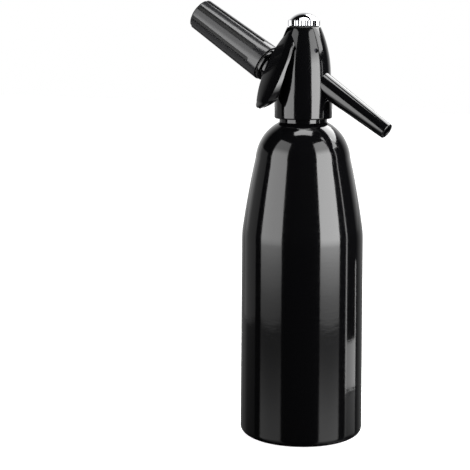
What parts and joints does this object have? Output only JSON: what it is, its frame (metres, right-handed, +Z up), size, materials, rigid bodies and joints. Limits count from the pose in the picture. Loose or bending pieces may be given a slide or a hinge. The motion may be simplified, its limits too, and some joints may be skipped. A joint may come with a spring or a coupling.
{
  "type": "soda siphon",
  "caption": "Soda siphon: a tall black aluminium bottle with a screw-on head carrying a thumb lever, a drooping spout, a grooved charger holder and a knurled chrome cap.",
  "frame": {"origin": "centre of the bottle's flat base, on its axis", "axes": "+Z up along the bottle's axis, +X the way the spout points, the charger holder towards -X, the lever at 120 degrees clockwise from the spout seen from above"},
  "size_m": [0.1658, 0.0908, 0.3192],
  "materials": {
    "lacquered_aluminium": "gloss black lacquer",
    "food_plastic": "moulded",
    "rubber": "soft",
    "lacquered_casting": "gloss black lacquer",
    "blued_steel": "blued and oiled",
    "brass": "turned",
    "steel": "ground",
    "holder_plastic": "satin black, finely grained",
    "chrome": "polished"
  },
  "bodies": {
    "bottle": {"bottle": "lacquered_aluminium"},
    "dip_tube": {"riser_tube": "food_plastic", "tube_holder": "food_plastic", "measuring_tube": "food_plastic"},
    "neck_seal": {"head_washer": "rubber"},
    "head": {"head_body": "lacquered_casting", "lever_pin": "blued_steel", "valve_plug": "brass", "valve_body": "brass", "valve_spring": "steel", "stem_ring": "rubber", "spout_tube": "lacquered_casting", "spout_ring": "rubber", "piercing_block": "brass", "piercing_needle": "steel", "charger_seal": "rubber", "check_spring": "steel"},
    "lever": {"lever": "lacquered_casting"},
    "valve": {"valve_stem": "brass", "valve_seal": "rubber", "valve_button": "brass"},
    "check_valve": {"check_ball": "rubber"},
    "holder_seal": {"holder_ring": "rubber"},
    "holder": {"charger_holder": "holder_plastic", "charger": "steel", "holder_pad": "rubber"},
    "cap_seal": {"cap_washer": "rubber"},
    "cap": {"top_cap": "chrome"}
  },
  "joints": [
    {"name": "head_lift", "type": "slide", "parent": "bottle", "child": "dip_tube", "axis": [0, 0, 1], "range_m": [0, 0.24]},
    {"name": "head_rise", "type": "slide", "parent": "dip_tube", "child": "neck_seal", "axis": [0, 0, 1], "range_m": [0, 0.0105]},
    {"name": "head_turn", "type": "hinge", "parent": "neck_seal", "child": "head", "pos_m": [0, 0, 0.24], "axis": [0, 0, 1], "range_deg": [0, 1260]},
    {"name": "lever_press", "type": "hinge", "parent": "head", "child": "lever", "pos_m": [0, 0, 0.2838], "axis": [0.866, -0.5, 0], "range_deg": [0, 6], "stiffness_Nm_per_rad": 3, "springref_deg": -5.73},
    {"name": "valve_slide", "type": "slide", "parent": "head", "child": "valve", "axis": [0, 0, -1], "range_m": [0, 0.0008], "deforming": ["valve_spring"]},
    {"name": "check_open", "type": "slide", "parent": "head", "child": "check_valve", "axis": [0.8526, 0, -0.5225], "range_m": [0, 0.0006], "stiffness_N_per_m": 400, "springref_m": -0.0005},
    {"name": "holder_out", "type": "slide", "parent": "head", "child": "holder_seal", "axis": [-0.8526, 0, 0.5225], "range_m": [0, 0.008]},
    {"name": "holder_turn", "type": "hinge", "parent": "holder_seal", "child": "holder", "pos_m": [-0.0307, 0, 0.27341], "axis": [-0.8526, 0, 0.5225], "range_deg": [0, 1440]},
    {"name": "cap_rise", "type": "slide", "parent": "head", "child": "cap_seal", "axis": [0, 0, 1], "range_m": [0, 0.006]},
    {"name": "cap_turn", "type": "hinge", "parent": "cap_seal", "child": "cap", "pos_m": [0, 0, 0.3], "axis": [0, 0, 1], "range_deg": [0, 1440]}
  ],
  "couplings": [
    {"joint": "head_rise", "follows": "head_turn", "m_per_rad": 0.00047746},
    {"joint": "valve_slide", "follows": "lever_press", "m_per_rad": 0.0065},
    {"joint": "holder_out", "follows": "holder_turn", "m_per_rad": 0.00031831},
    {"joint": "cap_rise", "follows": "cap_turn", "m_per_rad": 0.00023873}
  ]
}
